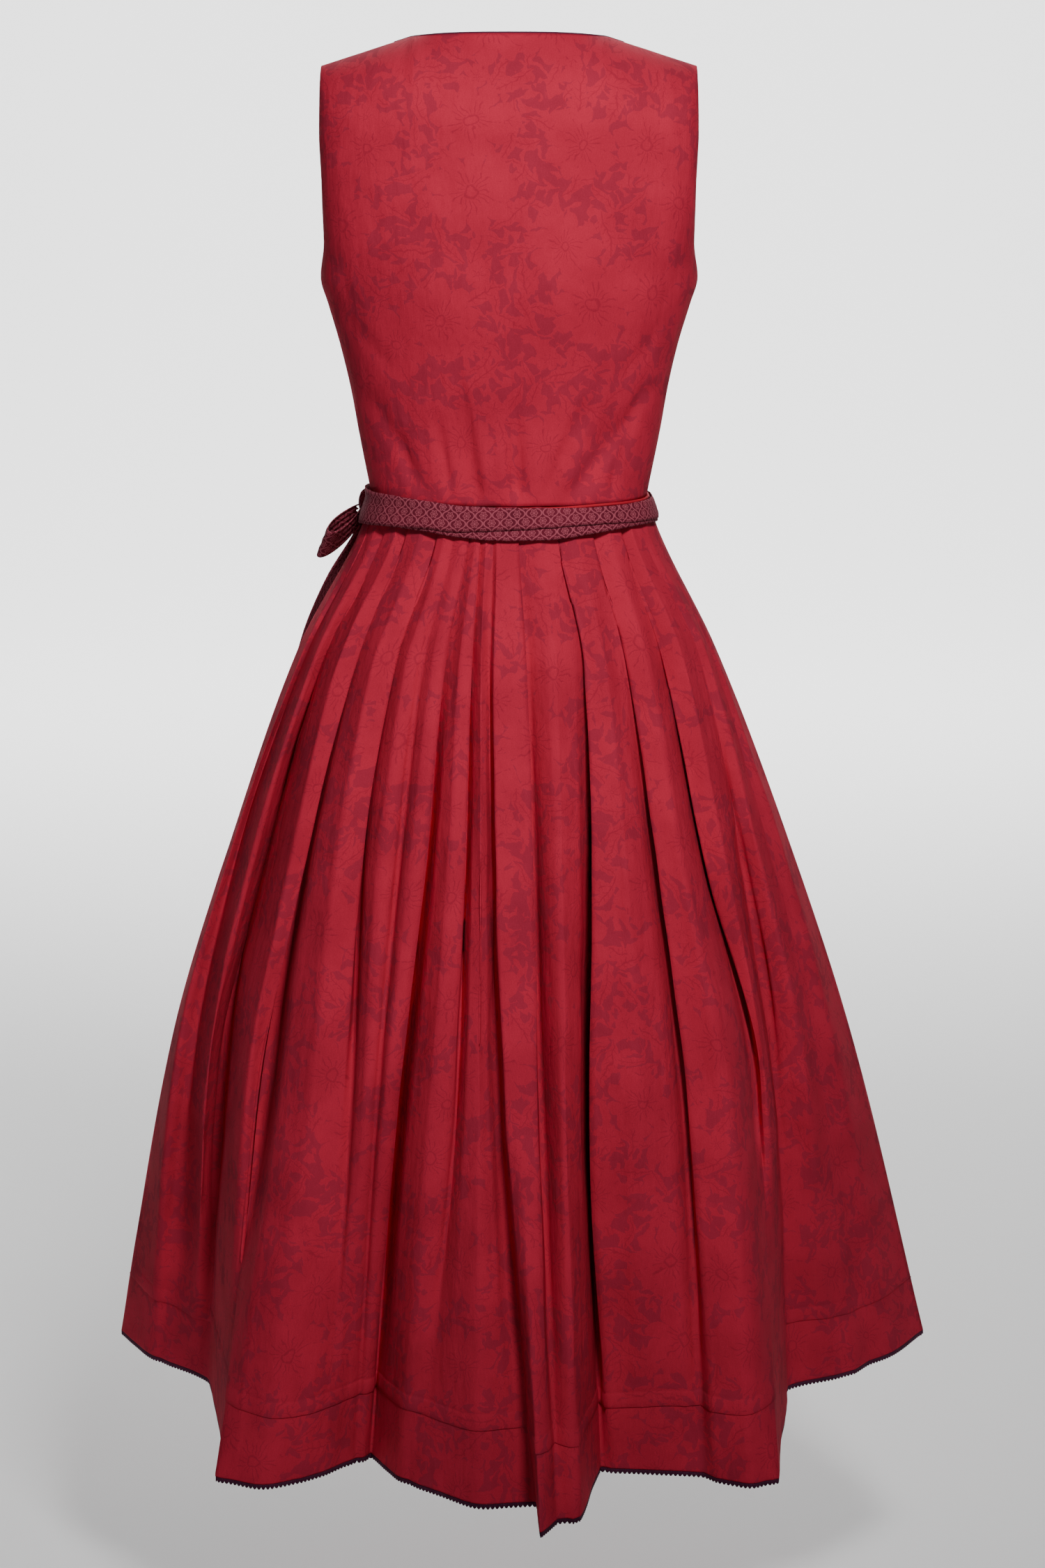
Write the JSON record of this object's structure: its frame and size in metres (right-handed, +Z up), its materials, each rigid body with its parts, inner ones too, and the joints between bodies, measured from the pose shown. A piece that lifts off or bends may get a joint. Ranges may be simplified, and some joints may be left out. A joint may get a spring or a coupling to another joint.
{
  "type": "dirndl",
  "caption": "Sleeveless dirndl dress, worn and hollow, with a fitted bodice, a wide pleated skirt and a gathered apron tied in a bow at the left.",
  "frame": {"origin": "midway between the shoulder seams, at their height, where the wearer's shoulders carry the dress", "axes": "+Z up, +X towards the wearer's left, -Y towards the wearer's front; the picture looks at the back, from +Y"},
  "size_m": [0.732, 0.721, 1.1667],
  "materials": {
    "dress": "red cotton with a tone-on-tone floral print",
    "apron": "burgundy cotton with a fine pink ornament",
    "trim": "dark burgundy edging",
    "button": "antique silver colour"
  },
  "bodies": {
    "root": {"bodice_back": "dress", "bodice_front_left": "dress", "bodice_front_right": "dress", "button_band": "dress", "skirt_back": "dress", "skirt_front": "dress", "waist_piping": "dress", "hem_edging_back": "trim", "hem_edging_front": "trim", "neck_piping_back": "trim", "apron_panel": "apron", "apron_waistband": "apron", "tie_upper": "apron", "tie_lower": "apron", "bow_knot": "apron", "bow_loop_back": "apron", "bow_loop_front": "apron", "bow_tail_back": "apron", "bow_tail_front": "apron", "button_1": "button", "button_2": "button", "button_3": "button", "button_4": "button", "button_5": "button", "button_6": "button"}
  },
  "joints": []
}
